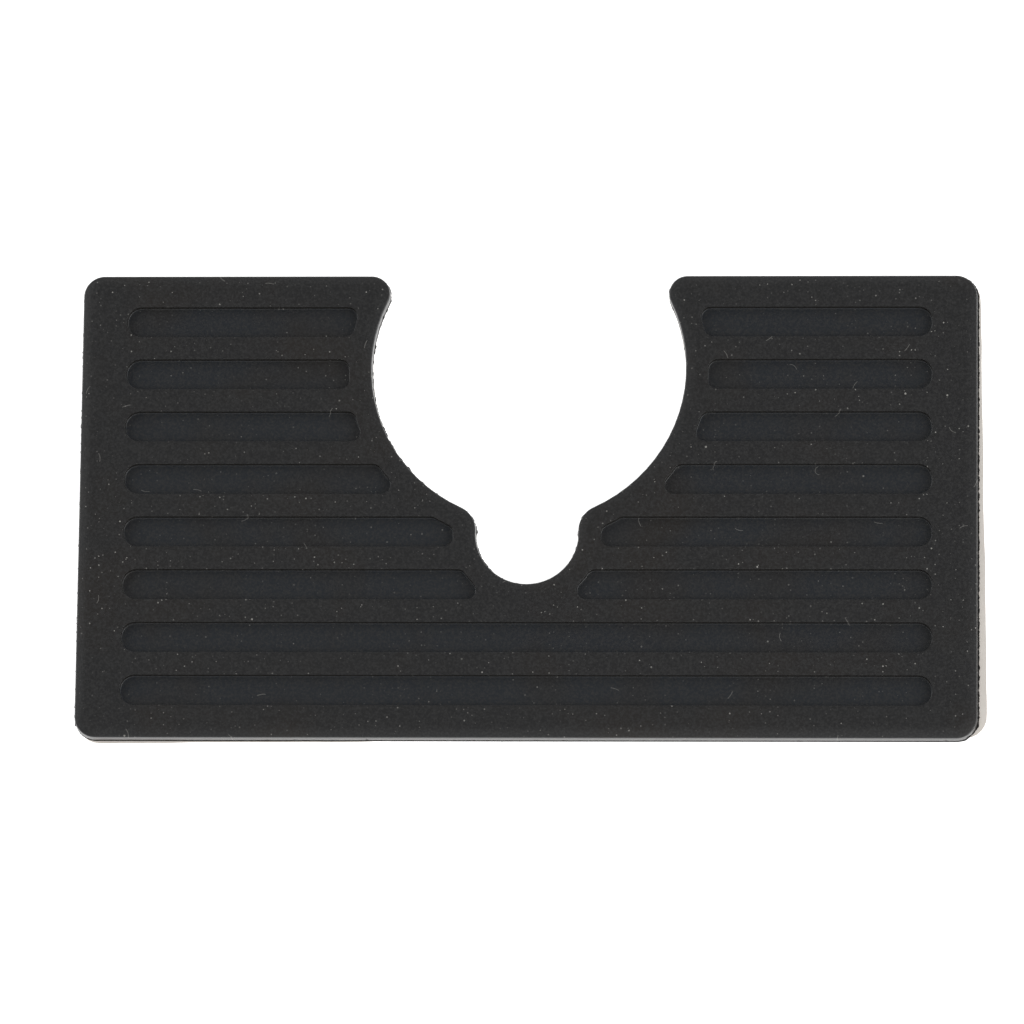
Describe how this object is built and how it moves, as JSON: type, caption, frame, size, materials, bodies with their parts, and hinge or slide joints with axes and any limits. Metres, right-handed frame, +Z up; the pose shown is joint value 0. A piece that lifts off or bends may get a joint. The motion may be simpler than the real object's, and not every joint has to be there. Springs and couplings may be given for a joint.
{
  "type": "snowboard stomp pad",
  "caption": "Grooved black rubber foot pad with a keyhole notch, laminated on foam tape, with its paper release liner still on.",
  "frame": {"origin": "middle of the pad's rectangle, on the surface it lies on (the release liner's underside); this point lies inside the notch", "axes": "+X along the pad's width, which lies across the rider's foot; +Y towards the notched edge; +Z up, out of the tread"},
  "size_m": [0.1819, 0.0954, 0.0038],
  "materials": {
    "tread_rubber": "matte",
    "adhesive_film": "gloss",
    "tape_foam": "matte",
    "liner_paper": "satin"
  },
  "bodies": {
    "liner": {"release_liner": "liner_paper"},
    "pad": {"tread_mat": "tread_rubber", "upper_adhesive": "adhesive_film", "tape_foam": "tape_foam", "lower_adhesive": "adhesive_film"}
  },
  "joints": [
    {"name": "liner_peel", "type": "hinge", "parent": "liner", "child": "pad", "pos_m": [-0.09, 0, 0.00015], "axis": [0, -1, 0], "range_deg": [0, 90]}
  ]
}
